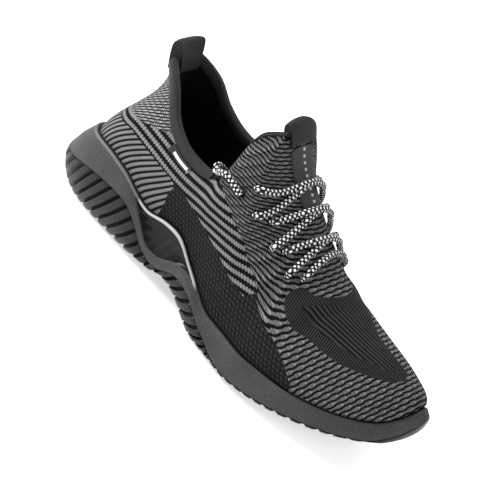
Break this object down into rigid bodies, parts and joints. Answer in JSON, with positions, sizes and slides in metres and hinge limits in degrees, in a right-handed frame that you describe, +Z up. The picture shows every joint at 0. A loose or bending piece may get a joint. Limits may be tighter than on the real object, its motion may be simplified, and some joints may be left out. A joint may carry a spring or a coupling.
{
  "type": "safety shoe",
  "caption": "Low knitted safety shoe for the right foot, with a grey foam cup, a ribbed dark outsole, laces and pull loops.",
  "frame": {"origin": "on the ground under the middle of the heel", "axes": "+X to the toe, +Y to the inner side of the foot, +Z up"},
  "size_m": [0.2928, 0.1043, 0.1424],
  "materials": {
    "outsole": "satin",
    "midsole": "matte, fine speckle",
    "arch_insert": "satin",
    "insole": "matte",
    "knit": "knitted, dark grey and black with pale stripes",
    "tape": "dark woven tape",
    "label": "woven label",
    "lace": "round braided cord, speckled"
  },
  "bodies": {
    "root": {"outsole": "outsole", "midsole": "midsole", "arch_insert_lateral": "arch_insert", "arch_insert_medial": "arch_insert", "insole": "insole", "upper": "knit", "collar_binding": "tape", "heel_pull_loop": "tape", "tongue_pull_loop": "tape", "tongue_label": "label", "side_tag": "label", "lace_bar": "lace", "lace_crossing_1": "lace", "lace_crossing_2": "lace", "lace_crossing_3": "lace", "lace_end_lateral": "lace"}
  },
  "joints": []
}
